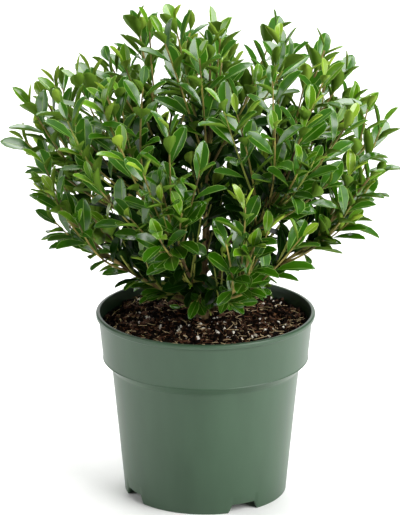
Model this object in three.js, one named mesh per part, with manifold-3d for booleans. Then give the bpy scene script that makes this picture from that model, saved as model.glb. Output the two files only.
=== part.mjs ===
// A young Japanese holly, a small-leaved evergreen shrub, in a green moulded nursery pot.
// A short trunk stands in the potting mix. Boughs arch up and out of it, and each ends in one mass of
// foliage: a leader, side twigs and leaves. The crown is a rounded dome. It is shared out among the masses
// as cones that meet near the trunk's foot, so that each mass keeps to its own space.
// Millimetres, +Z up. The origin is on the floor under the middle of the pot, and -Y is the front.

import * as THREE from "three";
import { mergeVertices } from "three/addons/utils/BufferGeometryUtils.js";
import Module from "manifold-3d";

const wasm = await Module();
wasm.setup();
const { degToRad, lerp } = THREE.MathUtils;

// Driving dimensions
const GAP = 0.3; // left between pieces that touch
const FINEST = 0.001; // points nearer than this count as one

const POT_HEIGHT = 141;
const POT_RIM_RADIUS = 82.5; // outside of the rolled lip
const POT_BASE_RADIUS = 61.1;
const POT_WALL = 1.8;
const POT_SIDES = 40;
const LIP_HEIGHT = 3.6;
const LIP_TURNS = [-90, -35, 35, 90].map(degToRad); // up round the lip's bulging edge
const COLLAR_TOP_RADIUS = 80.5; // just under the lip
const COLLAR_FOOT_RADIUS = 77.2;
const COLLAR_FOOT_HEIGHT = 104.5;
const BODY_TOP_RADIUS = 70.7; // under the collar's slanting step
const BODY_TOP_HEIGHT = 96;
const FLOOR_HEIGHT = 7; // underside of the pot's raised floor
const FLOOR_THICKNESS = 2;

const NOTCHES = 4; // drainage notches in the foot
const NOTCH_HEIGHT = 6.3;
const NOTCH_FOOT_WIDTH = 25.5;
const NOTCH_TOP_WIDTH = 18;
const NOTCH_TURN = degToRad(28); // the first one, to the right of the front
const DRAIN_RADIUS = 5;
const DRAIN_RING = 45;
const DRAIN_SIDES = 12;

const MIX_TOP = 135; // flat middle of the mounded mix, where the trunk stands
const MIX_EDGE = 131;
const MIX_FLAT_RADIUS = 13;
const MOUND_SHOULDER = 0.5; // of the way in from the mix's edge to its flat middle
const MOUND_SHOULDER_RISE = 0.65; // share of the mound's height reached there
const MIX_SIDES = 30;

const TRUNK_LENGTH = 44;
const TRUNK_FOOT_RADIUS = 4.6;
const TRUNK_TIP_RADIUS = 2.5;
const TRUNK_FLARE = 2.8; // added at the cut
const FLARE_FADE = 10; // how fast the flare is lost up the trunk
const TRUNK_LEAN = 3; // to the left, at the tip
const TRUNK_SIDES = 11;
const TRUNK_STEPS = 7;

const CROWN_RADIUS = 153;
const CROWN_HALF_HEIGHT = 117;
const CROWN_MIDDLE = 267; // the crown's widest level
const CROWN_TURN = degToRad(150); // of the whole crown about the trunk
const CROWN_FLOOR = POT_HEIGHT + 1; // no leaf hangs lower
const LEAF_LIMIT = 1.06; // how far out leaf tips may stand, as a share of the crown's outline
const CONE_FOOT = 155.5; // where the masses' cones meet
const STEEP_RISE = 0.75; // sine of a direction's rise, above which shoots have their full reach
const FLANK_DRAW = 0.4; // share of the reach that a level shoot loses, so that the crown narrows downwards
const RIGHT_DRAW = 0.4; // how much more of it is lost on the right, and less on the left

const MASSES = 15;
const LOWEST_MASS = -0.3; // as a share of the crown's half height, from its middle
const SHOOT_REACH = 0.9; // of the way to the crown's outline, with leaves beyond
const LEADER_STRAY = 0.03; // how far that share varies
const BOUGH_SHARE = 0.28; // of the limb from the trunk to the mass's tip
const LOWEST_BOUGH = 0.1; // places on the trunk, as shares of its length
const HIGHEST_BOUGH = 0.9;
const BOUGH_RADIUS = 2;
const BOUGH_TIP_RADIUS = 1.4;
const BOUGH_SIDES = 6;
const BOUGH_STEPS = 3;
const LEADER_TIP_RADIUS = 0.8;
const LEADER_STEPS = 4;
const LIMB_SAG = 0.2; // of a limb's length, so that limbs turn up towards their tips

const TWIGS = 94; // shared out over all the masses
const LOWEST_TWIG = -0.3;
const TWIG_RADIUS = 1.05;
const TWIG_TIP_RADIUS = 0.75;
const TWIG_SIDES = 3;
const TWIG_STEPS = 2;
const TWIG_INSET = 0.14; // of the way back towards the mass's own middle line
const TWIG_STRAY = 0.08;
const HIGHEST_TWIG_FOOT = 0.45; // share of the leader where a twig close to it leaves
const TWIG_FOOT_DROP = 0.8; // how far that falls for each radian that the twig stands off
const LOWEST_TWIG_FOOT = 0.06;
const TWIG_TESTS = 8; // stretches of a twig whose ends have to lie in its mass's space

const LEAF_LENGTH = 38; // larger than life, since each stands for a few
const LEAF_WIDTH = 19;
const LEAF_THICKNESS = 1;
const LEAF_FOLD = 1.6; // margins above the midrib
const LEAF_WIDEST = 0.54; // of the leaf's length
const LEAF_ROOT = 6; // the stretch of it that may run into its neighbours
const LEAF_SINK = 0.25; // of the twig's radius, past its middle
const LEAF_SPREAD = 1; // radians off the shoot, low down
const LEAF_SPREAD_TIP = 0.5;
const LEAF_STRAY = 0.15;
const LEAF_SIZES = [1, 0.8, 0.62]; // tried in turn where there is little room
const LEAF_TURNS = [0, 0.7, -0.7];
const LAST_LEAF = 0.985; // share of a shoot's length
const LEADER_LEAVES = 8;
const LEADER_FIRST_LEAF = 0.08;
const TWIG_LEAVES = 3;
const TWIG_FIRST_LEAF = 0.36;
const KEY_STRIDE = 20; // keeps the leaves' keys apart: no mass has more shoots, and no shoot more leaves

const GOLDEN_ANGLE = Math.PI * (3 - Math.sqrt(5));
const SEED = 6;
const UP = new THREE.Vector3(0, 0, 1);

function look(color, roughness) {
  return new THREE.MeshStandardMaterial({ color, roughness, metalness: 0 });
}

const POT_GREEN = look(0x5f7c67, 0.55);
const MIX_BROWN = look(0x2c1d16, 0.95);
const BARK_TAN = look(0x7d6240, 0.85);
const LEAF_GREEN = look(0x3f7a2a, 0.4);

const shrub = new THREE.Group();

// Helpers

// A repeatable number from -1 to 1 for each set of keys.
function vary(a, b = 0) {
  const wave = Math.sin(SEED + a * 12.9898 + b * 78.233) * 43758.5453;
  return 2 * (wave - Math.floor(wave)) - 1;
}

// A closed geometry as a solid that can be joined and cut.
function solidOf(geometry) {
  geometry.deleteAttribute("normal");
  geometry.deleteAttribute("uv");
  const merged = mergeVertices(geometry, FINEST);
  const vertProperties = new Float32Array(merged.attributes.position.array);
  const triVerts = new Uint32Array(merged.index.array);
  return new wasm.Manifold(new wasm.Mesh({ numProp: 3, vertProperties, triVerts }));
}

function geometryOf(solid) {
  const { vertProperties, triVerts } = solid.getMesh();
  const geometry = new THREE.BufferGeometry();
  geometry.setAttribute("position", new THREE.BufferAttribute(vertProperties, 3));
  geometry.setIndex(new THREE.BufferAttribute(triVerts, 1));
  return geometry;
}

// Whether a solid's surface stays closed, with two faces at each edge, once its nearest points are one.
function staysWhole(solid) {
  const { index, attributes } = mergeVertices(geometryOf(solid), FINEST);
  const edges = new Set();
  for (let i = 0; i < index.count; i++) {
    const from = index.getX(i);
    const to = index.getX(i % 3 === 2 ? i - 2 : i + 1);
    edges.add(from * attributes.position.count + to);
  }
  return edges.size === index.count;
}

function apart(solid, other) {
  return solid.intersect(other).isEmpty();
}

function addMesh(name, solid, material) {
  const geometry = geometryOf(solid);
  geometry.computeVertexNormals();
  const mesh = new THREE.Mesh(geometry, material);
  mesh.name = name;
  shrub.add(mesh);
}

// A profile of [radius, height] points turned about the vertical axis.
function turned(profile, sides) {
  const points = profile.map(([radius, height]) => new THREE.Vector2(radius, height));
  return solidOf(new THREE.LatheGeometry(points, sides).rotateX(Math.PI / 2));
}

// A round limb along a curve. Its radius at each share of the length is given by a function.
function limb(curve, radiusAt, sides, steps) {
  const geometry = new THREE.CylinderGeometry(1, 1, 1, sides, steps);
  const { normals, binormals } = curve.computeFrenetFrames(steps);
  const place = geometry.attributes.position;
  const point = new THREE.Vector3();
  for (let i = 0; i < place.count; i++) {
    const step = Math.round((place.getY(i) + 0.5) * steps);
    const radius = radiusAt(step / steps);
    curve.getPointAt(step / steps, point);
    point.addScaledVector(binormals[step], place.getX(i) * radius);
    point.addScaledVector(normals[step], place.getZ(i) * radius);
    place.setXYZ(i, point.x, point.y, point.z);
  }
  return solidOf(geometry);
}

function taper(from, to) {
  return (share) => lerp(from, to, share);
}

// The stretch of a quadratic curve between two of its parameters.
function stretch(curve, from, to) {
  const { v0, v1, v2 } = curve;
  const bend = v0.clone().multiplyScalar((1 - from) * (1 - to));
  bend.addScaledVector(v1, from * (1 - to) + to * (1 - from)).addScaledVector(v2, from * to);
  return new THREE.QuadraticBezierCurve3(curve.getPoint(from), bend, curve.getPoint(to));
}

// Crown

const coneFoot = new THREE.Vector3(0, 0, CONE_FOOT);
const crownMiddle = new THREE.Vector3(0, 0, CROWN_MIDDLE);
const crownSize = new THREE.Vector3(CROWN_RADIUS, CROWN_RADIUS, CROWN_HALF_HEIGHT);

// Directions to points spread evenly over the crown's outline, from the lowest level to the top:
// a spiral by the golden angle.
function spreadDirection(n, count, lowest) {
  const level = lerp(lowest, 1, (n + 0.5) / count);
  const girth = Math.sqrt(1 - level * level);
  const turn = n * GOLDEN_ANGLE + CROWN_TURN;
  const point = new THREE.Vector3(girth * Math.cos(turn), girth * Math.sin(turn), level);
  return point.multiply(crownSize).add(crownMiddle).sub(coneFoot).normalize();
}

// A point part of the way from the cones' foot to the crown's outline, where a ray meets an ellipsoid.
// Low directions fall short of it.
function tipAlong(direction, share) {
  const from = coneFoot.clone().sub(crownMiddle).divide(crownSize);
  const step = direction.clone().divide(crownSize);
  const along = from.dot(step);
  const square = step.lengthSq();
  const reach = (Math.sqrt(along * along + square * (1 - from.lengthSq())) - along) / square;
  const drawn = FLANK_DRAW * (1 + RIGHT_DRAW * direction.x) * Math.max(0, 1 - direction.z / STEEP_RISE);
  return coneFoot.clone().addScaledVector(direction, reach * share * (1 - drawn));
}

const masses = [];
for (let k = 0; k < MASSES; k++) {
  const toward = spreadDirection(k, MASSES, LOWEST_MASS);
  masses.push({ toward, tip: tipAlong(toward, SHOOT_REACH + LEADER_STRAY * vary(k, 2)), twigTips: [] });
}

// Each twig's tip belongs to the mass whose middle line points nearest to it.
for (let n = 0; n < TWIGS; n++) {
  const direction = spreadDirection(n, TWIGS, LOWEST_TWIG);
  const nearness = masses.map(({ toward }) => toward.dot(direction));
  const mass = masses[nearness.indexOf(Math.max(...nearness))];
  direction.lerp(mass.toward, TWIG_INSET).normalize();
  mass.twigTips.push(tipAlong(direction, SHOOT_REACH - LEADER_STRAY + TWIG_STRAY * vary(n, 4)));
}

// Whether points lie in mass k's own cone, half a gap inside it, within the crown's limit and above the pot.
function inOwnSpace(k, points) {
  const own = masses[k].toward;
  return points.every((point) => {
    const inCrown = point.clone().sub(crownMiddle).divide(crownSize).length() < LEAF_LIMIT;
    const arm = point.clone().sub(coneFoot);
    const inCone = masses.every(({ toward }, j) => {
      const across = own.clone().sub(toward);
      return j === k || arm.dot(across) > (GAP / 2) * across.length();
    });
    return inCrown && inCone && point.z > CROWN_FLOOR;
  });
}

// Pot, with its lip, collar, raised floor and notched foot

function bodyRadius(height) {
  return lerp(POT_BASE_RADIUS, BODY_TOP_RADIUS, height / BODY_TOP_HEIGHT);
}

function addPot() {
  const floorTop = FLOOR_HEIGHT + FLOOR_THICKNESS;
  const under = [
    [0, FLOOR_HEIGHT],
    [bodyRadius(FLOOR_HEIGHT) - POT_WALL, FLOOR_HEIGHT],
    [POT_BASE_RADIUS - POT_WALL, 0],
  ];
  const outside = [
    [POT_BASE_RADIUS, 0],
    [BODY_TOP_RADIUS, BODY_TOP_HEIGHT],
    [COLLAR_FOOT_RADIUS, COLLAR_FOOT_HEIGHT],
  ];
  for (const turn of LIP_TURNS) {
    const bulge = (POT_RIM_RADIUS - COLLAR_TOP_RADIUS) * Math.cos(turn);
    outside.push([COLLAR_TOP_RADIUS + bulge, POT_HEIGHT - (LIP_HEIGHT / 2) * (1 - Math.sin(turn))]);
  }
  const inside = [
    [COLLAR_TOP_RADIUS - POT_WALL, POT_HEIGHT],
    [COLLAR_FOOT_RADIUS - POT_WALL, COLLAR_FOOT_HEIGHT],
    [BODY_TOP_RADIUS - POT_WALL, BODY_TOP_HEIGHT],
    [bodyRadius(floorTop) - POT_WALL, floorTop],
    [0, floorTop],
  ];
  let pot = turned([...under, ...outside, ...inside], POT_SIDES);
  for (let n = 0; n < NOTCHES; n++) {
    const turn = NOTCH_TURN + (n * 2 * Math.PI) / NOTCHES;
    pot = pot.subtract(notchCutter(turn)).subtract(drainCutter(turn));
  }
  addMesh("pot", pot, POT_GREEN);
}

// A wedge through the foot's wall, wider at the floor than at its top. Turn 0 is at the front.
function notchCutter(turn) {
  const outline = new THREE.Shape([
    new THREE.Vector2(-NOTCH_FOOT_WIDTH / 2, 0),
    new THREE.Vector2(NOTCH_FOOT_WIDTH / 2, 0),
    new THREE.Vector2(NOTCH_TOP_WIDTH / 2, NOTCH_HEIGHT),
    new THREE.Vector2(-NOTCH_TOP_WIDTH / 2, NOTCH_HEIGHT),
  ]);
  const wedge = new THREE.ExtrudeGeometry(outline, { depth: POT_BASE_RADIUS, bevelEnabled: false });
  wedge.rotateX(Math.PI / 2).translate(0, -POT_BASE_RADIUS / 2, 0).rotateZ(turn);
  return solidOf(wedge);
}

// A drain hole in the floor, behind a notch.
function drainCutter(turn) {
  const hole = new THREE.CylinderGeometry(DRAIN_RADIUS, DRAIN_RADIUS, 2 * FLOOR_THICKNESS, DRAIN_SIDES);
  hole.rotateX(Math.PI / 2).translate(0, -DRAIN_RING, FLOOR_HEIGHT + FLOOR_THICKNESS / 2).rotateZ(turn);
  return solidOf(hole);
}

// Potting mix, a gap inside the pot's wall and floor, mounded to a flat middle
function addMix() {
  const foot = FLOOR_HEIGHT + FLOOR_THICKNESS + GAP;
  const inset = POT_WALL + GAP;
  const edgeShare = (MIX_EDGE - COLLAR_FOOT_HEIGHT) / (POT_HEIGHT - COLLAR_FOOT_HEIGHT);
  const edgeRadius = lerp(COLLAR_FOOT_RADIUS, COLLAR_TOP_RADIUS, edgeShare) - inset;
  const profile = [
    [0, foot],
    [bodyRadius(foot) - inset, foot],
    [BODY_TOP_RADIUS - inset, BODY_TOP_HEIGHT + GAP],
    [COLLAR_FOOT_RADIUS - inset, COLLAR_FOOT_HEIGHT + GAP],
    [edgeRadius, MIX_EDGE],
    [lerp(edgeRadius, MIX_FLAT_RADIUS, MOUND_SHOULDER), lerp(MIX_EDGE, MIX_TOP, MOUND_SHOULDER_RISE)],
    [MIX_FLAT_RADIUS, MIX_TOP],
    [0, MIX_TOP],
  ];
  addMesh("potting_mix", turned(profile, MIX_SIDES), MIX_BROWN);
}

// Trunk and boughs

const trunkFoot = new THREE.Vector3(0, 0, MIX_TOP + GAP);
const trunkCurve = new THREE.QuadraticBezierCurve3(
  trunkFoot,
  trunkFoot.clone().addScaledVector(UP, TRUNK_LENGTH / 2),
  trunkFoot.clone().add(new THREE.Vector3(-TRUNK_LEAN, 0, TRUNK_LENGTH)),
);

function trunkSolid(growth) {
  const wood = taper(TRUNK_FOOT_RADIUS + growth, TRUNK_TIP_RADIUS + growth);
  const radiusAt = (share) => wood(share) + TRUNK_FLARE * Math.exp(-FLARE_FADE * share);
  return limb(trunkCurve, radiusAt, TRUNK_SIDES, TRUNK_STEPS);
}

function boughSolid(curve, growth) {
  const radiusAt = taper(BOUGH_RADIUS + growth, BOUGH_TIP_RADIUS + growth);
  return limb(curve, radiusAt, BOUGH_SIDES, BOUGH_STEPS);
}

// A limb runs from the trunk, higher masses from higher up, to its mass's tip.
function limbCurve({ tip }, k) {
  const start = trunkCurve.getPointAt(lerp(LOWEST_BOUGH, HIGHEST_BOUGH, k / (MASSES - 1)));
  const bend = start.clone().lerp(tip, 0.5).addScaledVector(UP, -LIMB_SAG * start.distanceTo(tip));
  return new THREE.QuadraticBezierCurve3(start, bend, tip);
}

// Each limb's lower stretch is its bough and the rest is its mass's leader. Returns the trunk and boughs
// with a gap round them.
function addTrunkAndBoughs() {
  const trunkSpace = trunkSolid(GAP);
  let woodSpace = trunkSpace;
  addMesh("trunk", trunkSolid(0), BARK_TAN);
  masses.forEach((mass, k) => {
    const curve = limbCurve(mass, k);
    const bough = stretch(curve, 0, BOUGH_SHARE);
    const gapShare = (GAP * BOUGH_SHARE) / (2 * bough.v1.distanceTo(bough.v2));
    mass.leader = stretch(curve, BOUGH_SHARE + gapShare, 1);
    addMesh(`bough_${k + 1}`, boughSolid(bough, 0).subtract(trunkSpace), BARK_TAN);
    woodSpace = woodSpace.add(boughSolid(bough, GAP));
  });
  return woodSpace;
}

// Foliage

// One leaf of eight faces: an octahedron drawn out to a root, a tip, two margins and the midrib's two sides.
function leafBlade({ root, along, face }, size, sink) {
  const side = new THREE.Vector3().crossVectors(face, along);
  const geometry = new THREE.OctahedronGeometry(1);
  const place = geometry.attributes.position;
  const points = [];
  for (let i = 0; i < place.count; i++) {
    const [x, y, z] = [place.getX(i), place.getY(i), place.getZ(i)].map(Math.round);
    const reach = [-sink, LEAF_LENGTH * LEAF_WIDEST * size, LEAF_LENGTH * size][x + 1];
    const lift = (LEAF_THICKNESS / 2) * z + LEAF_FOLD * (Math.abs(y) - Math.max(x, 0));
    const point = root.clone().addScaledVector(along, reach).addScaledVector(face, lift);
    point.addScaledVector(side, (y * LEAF_WIDTH * size) / 2);
    place.setXYZ(i, point.x, point.y, point.z);
    points.push(point);
  }
  return { geometry, points };
}

// A leaf's place on a shoot: round it by the golden angle, spreading low down and upright at the tip.
function leafPlace(curve, share, turn, key) {
  const tangent = curve.getTangentAt(share);
  const outward = new THREE.Vector3().crossVectors(tangent, UP).normalize().applyAxisAngle(tangent, turn);
  const open = lerp(LEAF_SPREAD, LEAF_SPREAD_TIP, share) + LEAF_STRAY * vary(key, 3);
  const along = tangent.clone().multiplyScalar(Math.cos(open)).addScaledVector(outward, Math.sin(open));
  const face = tangent.clone().multiplyScalar(Math.sin(open)).addScaledVector(outward, -Math.cos(open));
  return { root: curve.getPointAt(share), along, face };
}

// The mass with one leaf more: the first size and turn that fits in mass k's space, clear of the limbs.
// Past its root the leaf is also clear of the twigs and leaves that have grown there already.
function withLeaf(grown, k, shoot, share, turn, key) {
  for (const size of LEAF_SIZES) {
    for (const extra of LEAF_TURNS) {
      const place = leafPlace(shoot.curve, share, turn + extra, key);
      const whole = leafBlade(place, size, LEAF_SINK * shoot.tipRadius);
      if (!inOwnSpace(k, whole.points)) continue;
      const blade = solidOf(whole.geometry);
      const outer = solidOf(leafBlade(place, size, -LEAF_ROOT * size).geometry);
      if (!apart(blade, woodSpace) || !apart(outer, grown)) continue;
      const joined = grown.add(blade);
      if (staysWhole(joined)) return joined;
    }
  }
  return grown;
}

// A side twig leaves the leader forwards, the widest twigs lowest down, and turns up towards its tip.
function twigCurve({ leader, toward }, tip) {
  const spread = tip.clone().sub(coneFoot).angleTo(toward);
  const share = Math.max(LOWEST_TWIG_FOOT, HIGHEST_TWIG_FOOT - TWIG_FOOT_DROP * spread);
  const start = leader.getPointAt(share);
  const length = start.distanceTo(tip);
  const leave = leader.getTangentAt(share).add(tip.clone().sub(start).normalize()).normalize();
  const bend = start.clone().addScaledVector(leave, length / 2).addScaledVector(UP, -LIMB_SAG * length);
  return new THREE.QuadraticBezierCurve3(start, bend, tip);
}

// A mass is its leader, the side twigs that have room, and then the leaves that have room on them.
function addMass(mass, k) {
  let solid = limb(mass.leader, taper(BOUGH_TIP_RADIUS, LEADER_TIP_RADIUS), TWIG_SIDES, LEADER_STEPS);
  const shoots = [
    { curve: mass.leader, tipRadius: LEADER_TIP_RADIUS, leaves: LEADER_LEAVES, first: LEADER_FIRST_LEAF },
  ];
  for (const tip of mass.twigTips) {
    const curve = twigCurve(mass, tip);
    const wood = limb(curve, taper(TWIG_RADIUS, TWIG_TIP_RADIUS), TWIG_SIDES, TWIG_STEPS);
    if (!inOwnSpace(k, curve.getSpacedPoints(TWIG_TESTS)) || !apart(wood, woodSpace)) continue;
    const joined = solid.add(wood);
    if (!staysWhole(joined)) continue;
    solid = joined;
    shoots.push({ curve, tipRadius: TWIG_TIP_RADIUS, leaves: TWIG_LEAVES, first: TWIG_FIRST_LEAF });
  }
  shoots.forEach((shoot, n) => {
    for (let i = 0; i < shoot.leaves; i++) {
      const share = lerp(shoot.first, LAST_LEAF, i / (shoot.leaves - 1));
      const turn = i * GOLDEN_ANGLE + Math.PI * vary(k, n);
      const key = (k * KEY_STRIDE + n) * KEY_STRIDE + i;
      solid = withLeaf(solid, k, shoot, share, turn, key);
    }
  });
  const pieces = solid.decompose().sort((a, b) => b.volume() - a.volume());
  addMesh(`foliage_${k + 1}`, pieces[0], LEAF_GREEN);
}

addPot();
addMix();
const woodSpace = addTrunkAndBoughs();
masses.forEach(addMass);

export default shrub;
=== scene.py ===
"""A young Japanese holly in a green nursery pot, dressed for a studio picture.

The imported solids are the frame: they give each piece its place and its size. The pot, the potting mix, the
bark, the twigs and the leaves are worked out here as surfaces that stand for the solids. The plant grows by
the solids' own rule, written again for whole arrays of shoots, and is carried on to finer sprigs and to
leaves of life size. Metres, +Z up, and -Y is the front.
"""

import bpy
import numpy as np
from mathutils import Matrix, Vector


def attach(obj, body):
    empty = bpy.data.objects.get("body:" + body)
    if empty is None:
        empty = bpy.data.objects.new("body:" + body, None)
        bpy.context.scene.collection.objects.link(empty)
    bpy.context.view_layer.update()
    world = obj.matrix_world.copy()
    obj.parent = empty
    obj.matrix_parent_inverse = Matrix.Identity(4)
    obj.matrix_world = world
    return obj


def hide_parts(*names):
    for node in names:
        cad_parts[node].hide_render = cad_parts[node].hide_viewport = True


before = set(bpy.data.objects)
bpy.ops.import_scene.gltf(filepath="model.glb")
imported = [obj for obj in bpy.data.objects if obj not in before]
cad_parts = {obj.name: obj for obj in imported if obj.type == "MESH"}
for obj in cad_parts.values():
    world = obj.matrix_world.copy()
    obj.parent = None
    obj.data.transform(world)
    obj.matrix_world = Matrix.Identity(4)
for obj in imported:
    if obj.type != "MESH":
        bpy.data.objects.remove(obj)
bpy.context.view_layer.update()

MM = 0.001
UP = np.array([0.0, 0.0, 1.0])
GOLDEN_ANGLE = np.pi * (3 - np.sqrt(5))
SEED = 6  # of all repeatable chance; the solids have the same

# Studio
VIEW_TARGET = Vector((-4.2, 0, 182.6)) * MM
VIEW_DISTANCE = 3.0
VIEW_ELEVATION = np.radians(17.7)
LENS = 280  # millimetres: a long lens, for a picture with little perspective
FLOOR_HALF = 8.0
SURROUND = 0.1  # strength of the white all round
KEY_LIGHT = {"place": (2.1, -1.4, 1.7), "width": 2.4, "power": 128}
FILL_LIGHT = {"place": (-3.4, -0.8, 1.8), "width": 2.6, "power": 62}
TOP_LIGHT = {"place": (0, 0.9, 2.4), "width": 2.0, "power": 84}
BACK_LIGHT = {"place": (0, 2.4, 0.95), "width": 1.8, "power": 16}

# Pot
POT_HEIGHT = 141 * MM
POT_RIM_RADIUS = 82.5 * MM
POT_BASE_RADIUS = 61.1 * MM
POT_WALL = 1.8 * MM
COLLAR_TOP_RADIUS = 80.5 * MM
COLLAR_FOOT_RADIUS = 77.2 * MM
COLLAR_FOOT_HEIGHT = 104.5 * MM
BODY_TOP_RADIUS = 70.7 * MM
BODY_TOP_HEIGHT = 98 * MM
LIP_HEIGHT = 3.6 * MM
COLLAR_BEAD = 0.45 * MM  # a fine ridge along the collar's lower edge
FLOOR_HEIGHT = 7 * MM
FLOOR_THICKNESS = 2 * MM
POT_STEPS = 480  # round the pot
CORNER_STEPS = 5  # round each corner of its section
FINE_ROUNDING = 0.7 * MM
SOFT_ROUNDING = 1.6 * MM
NOTCHES = 4
NOTCH_HEIGHT = 6.3 * MM
NOTCH_FOOT_WIDTH = 25.5 * MM
NOTCH_TOP_WIDTH = 18 * MM
NOTCH_TURN = np.radians(28)
NOTCH_BAND = 14 * MM  # the foot's wall that gives way to the notches
DRAIN_RADIUS = 5 * MM
DRAIN_RING = 45 * MM
DRAIN_STEPS = 48
FLOOR_CREASE = 0.6  # radians, past which an edge stays sharp

# Potting mix
MIX_FOOT = 9.3 * MM
MIX_TOP = 135 * MM
MIX_EDGE = 131 * MM
MIX_RADIUS = 77.4 * MM
MIX_CLEARANCE = 0.5 * MM  # between the mix and the pot's wall
MIX_RINGS = 110
MIX_FOOT_RING = 2 * MM  # innermost ring of the foot
MIX_PEAK_RING = 0.004  # innermost ring of the top, as a share of its radius
MIX_STEPS = 260
HOLLOW_DEPTH = 1.7 * MM
HOLLOW_SIZE = 34 * MM
LUMP_DEPTH = 1.2 * MM
LUMP_SIZE = 11 * MM
CRUMB_DEPTH = 0.9 * MM
CRUMB_SIZE = 4.5 * MM

# Loose bits on the mix
CRUMBS = 3000
CHIPS = 620
SPLINTERS = 260
PERLITE = 560
RUST_FIBRES = 460
TAN_FIBRES = 420
PATCH_SIZE = 42 * MM  # of patches of perlite
PATCH_LIMIT = 0.1  # ripple above which perlite lies
EVERYWHERE = -2.0  # a limit that no ripple falls below
TRUNK_CLEARANCE = 5 * MM
WALL_CLEARANCE = 2 * MM
BIT_LEVEL = 0.8  # of a bit's end rings, as a share of its size
BIT_DENTS = (0.7, 1.25)  # least and most share of the size at a bit's points
BIT_STRETCH = (0.55, 1.1)  # and along its three axes
BIT_CREASE = 0.7
FIBRE_RADIUS = 0.26 * MM
FIBRE_LENGTH = (4 * MM, 14 * MM)
FIBRE_SLOPE = (-0.1, 0.3)
FIBRE_BOW = 0.6  # to either side, as a share of the length
FIBRE_RISE = 0.8 * MM  # of the middle
FIBRE_TRUNK_CLEARANCE = 8 * MM
FIBRE_END_CLEARANCE = 1 * MM  # to the wall

# Trunk
TRUNK_LENGTH = 44 * MM
TRUNK_FOOT_RADIUS = 4.6 * MM
TRUNK_TIP_RADIUS = 2.5 * MM
TRUNK_FLARE = 2.8 * MM
FLARE_FADE = 10  # how fast the flare fades up the trunk
TRUNK_LEAN = 3 * MM
TRUNK_GAP = 0.3 * MM  # over the mix, as in the solids
TRUNK_FOOT = np.array([0, 0, MIX_TOP + TRUNK_GAP])
RIDGE_DEPTH = 0.07  # relief of the trunk's bark, as shares of its radius
RIDGE_SIZE = 0.9
RIDGE_CHANGE = 6  # little along the trunk, so that ridges are long
CRACK_DEPTH = 0.05
CRACK_SIZE = 0.5
CRACK_CHANGE = 40

# Crown
CROWN_SIZE = np.array([153, 153, 117]) * MM
CROWN_MIDDLE = np.array([0, 0, 267]) * MM
CROWN_TURN = np.radians(150)  # where the spirals start
CROWN_FLOOR = POT_HEIGHT + 1 * MM  # for leaves outside the pot
LEAF_LIMIT = 1.06  # how far out leaf tips may stand, as a share of the crown's outline
MIX_LEAF_GAP = 2.5 * MM  # between the mix and leaves inside the pot
WALL_LEAF_GAP = 5 * MM
CONE_FOOT = np.array([0, 0, 155.5]) * MM  # where the masses' cones meet
STEEP_RISE = 0.75  # directions that rise more steeply reach the outline
FLANK_DRAW = 0.4  # how far a level direction falls short of it
RIGHT_DRAW = 0.4  # how much more it does so on the right

# Limbs: each runs from the trunk to its mass's tip, as bough and then as leader
MASSES = 15
LOWEST_MASS = -0.3  # level on the crown, which goes from -1 at its foot to 1 at its top
LIMB_REACH = 0.9  # share of the way to the crown's outline
LIMB_STRAY = 0.03
BOUGH_SHARE = 0.28  # of the limb
LOWEST_BOUGH = 0.1  # places on the trunk, as shares of its length
HIGHEST_BOUGH = 0.9
BOUGH_RADIUS = 2 * MM
BOUGH_TIP_RADIUS = 1.4 * MM
LEADER_TIP_RADIUS = 0.75 * MM
LIMB_SAG = 0.2  # of its length
SWELLING_DEPTH = 0.1  # relief of the boughs' bark, as shares of their radius
SWELLING_SIZE = 7 * MM
PORE_DEPTH = 0.07
PORE_SIZE = 2 * MM

# Side shoots: twigs on the leaders, sprigs on leaders and twigs, and inner sprigs low on the limbs
TWIGS = 94
LOWEST_TWIG = -0.3
TWIG_REACH = LIMB_REACH - LIMB_STRAY
TWIG_STRAY = 0.08
TWIG_RADIUS = 0.95 * MM
TWIG_TIP_RADIUS = 0.6 * MM
SHOOT_INSET = 0.14  # share by which a shoot's direction is drawn in to its parent's
HIGHEST_TWIG_FOOT = 0.45  # places on the parent, as shares of its length
FOOT_DROP = 0.8  # for each radian between the shoot and its parent
LOWEST_FOOT = 0.06
SPRIGS = 20
SPRIG_REACH = 0.86
SPRIG_STRAY = 0.12
HIGHEST_SPRIG_FOOT = 0.4
INNER_SPRIGS = 80
INNER_REACH = 0.45
INNER_STRAY = 0.13
HIGHEST_INNER_FOOT = 0.34
SPRIG_RADIUS = 0.8 * MM
SPRIG_TIP_RADIUS = 0.5 * MM
BASAL_SHOOTS = 32  # round the trunk's foot
BASAL_LENGTH = 40 * MM
BASAL_STRAY = 0.3
LOWEST_BASAL = 0.12  # places on the trunk
HIGHEST_BASAL = 0.7
BASAL_RISE = 0.22  # of its length

# Leaves, at life size
LEAF_LENGTH = 28.5 * MM
LEAF_WIDTH = 12 * MM
LEAF_KEEL = 0.4 * MM  # thickness along the midrib
LEAF_SKEW = 1.3  # above 1, the leaf is widest past its middle
LEAF_POINT = 0.65  # below 1, its ends are blunted
PETIOLE_WIDTH = 1.0 * MM
PETIOLE_SHARE = 0.1  # of the length
LEAF_FOLD = 0.4  # rise of the margins over the midrib, as a share of half the width
LEAF_CUP = 0.5  # above 0, the fold eases off to the margins
LEAF_ARCH = -0.13  # fall of the tip, as a share of the length
INTERNODE = 10.4 * MM  # down the shoot; closer at its tip
TIP_CROWDING = 2.6  # nodes over which the spacing opens out
TIP_NODES = 0.8  # nodes hidden in the bud
LEAF_SPREAD = 0.75  # radians off the shoot, low down
LEAF_SPREAD_TIP = 0.36
SPREAD_RUN = 18 * MM  # down the shoot, over which leaves open out
GROWTH_RUN = 15 * MM  # down the shoot, over which leaves reach their full size
YOUNG_RUN = 11 * MM  # down the shoot, over which leaves darken
TIP_LEAF_SIZE = 0.6
LOW_LEAF_SIZE = 0.65  # at the foot of the crown, in its shade
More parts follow.
